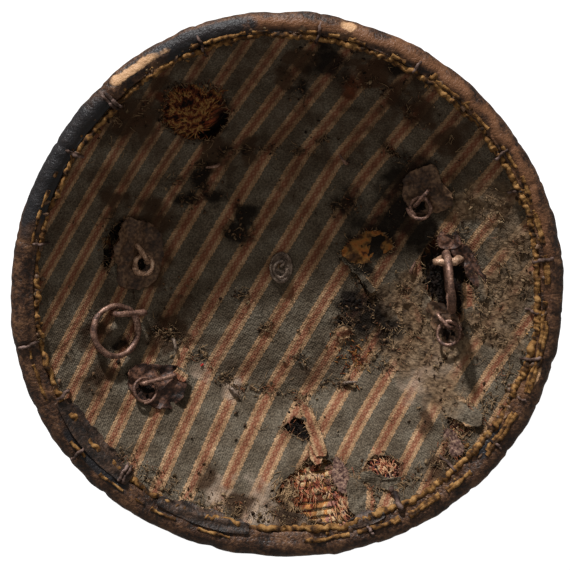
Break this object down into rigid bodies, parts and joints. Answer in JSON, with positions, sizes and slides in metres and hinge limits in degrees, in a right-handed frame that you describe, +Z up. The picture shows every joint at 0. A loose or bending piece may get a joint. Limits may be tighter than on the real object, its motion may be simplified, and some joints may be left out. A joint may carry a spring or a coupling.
{
  "type": "fist shield",
  "caption": "Small round wicker buckler seen from behind: cane bowl lined with worn striped cloth, rolled leather rim sewn with cord, iron strap rings in staples and an iron boss",
  "frame": {"origin": "the middle of the bounding box on the surface that the boss lies on", "axes": "+Z points up out of the open side, +X to the side of the standing strap ring, +Y to the side of the largest tear's upper end"},
  "size_m": [0.3796, 0.3806, 0.0795],
  "materials": {
    "wicker": "coiled cane wound with tan, yellow and rust thread, dry and dusty",
    "lining_cloth": "faded tan and grey-brown diagonal stripes with a red zigzag, stained, frayed at the tears",
    "rim_leather": "dark brown hide, rubbed to grey and cream on the crest",
    "patch_leather": "stiff blackened leather, matt",
    "cord": "twisted yellow silk cord, dulled",
    "thong": "hardened rawhide thong, dark brown",
    "iron": "forged iron under brown rust, rubbed lighter on the edges"
  },
  "bodies": {
    "root": {"shield_body": "wicker", "lining": "lining_cloth", "rim_leather": "rim_leather", "rim_cord": "cord", "patch_left_upper": "patch_leather", "patch_left_lower": "patch_leather", "patch_right_upper": "patch_leather", "patch_right_lower": "patch_leather", "edge_strip_lower_left": "patch_leather", "edge_strip_bottom": "patch_leather", "edge_strip_lower_right": "patch_leather", "rim_stitch_01": "thong", "rim_stitch_02": "thong", "rim_stitch_03": "thong", "rim_stitch_04": "thong", "rim_stitch_05": "thong", "rim_stitch_06": "thong", "rim_stitch_07": "thong", "rim_stitch_08": "thong", "rim_stitch_09": "thong", "rim_stitch_10": "thong", "rim_stitch_11": "thong", "rim_stitch_12": "thong", "rim_stitch_13": "thong", "rim_stitch_14": "thong", "rim_stitch_15": "thong", "rim_stitch_16": "thong", "rim_stitch_17": "thong", "rim_stitch_18": "thong", "rim_stitch_19": "thong", "rim_stitch_20": "thong", "boss": "iron", "boss_nail_1": "iron", "boss_nail_2": "iron", "boss_nail_3": "iron", "boss_nail_4": "iron", "boss_nail_5": "iron", "boss_nail_6": "iron", "centre_washer": "iron", "centre_pin": "iron", "staple_left_upper": "iron", "staple_left_main": "iron", "staple_left_lower": "iron", "staple_right_upper": "iron", "staple_right_main": "iron", "staple_right_lower": "iron", "ring_left_upper": "iron", "ring_left_main": "iron", "ring_left_lower": "iron", "ring_right_upper": "iron", "ring_right_main": "iron", "ring_right_lower": "iron"}
  },
  "joints": []
}
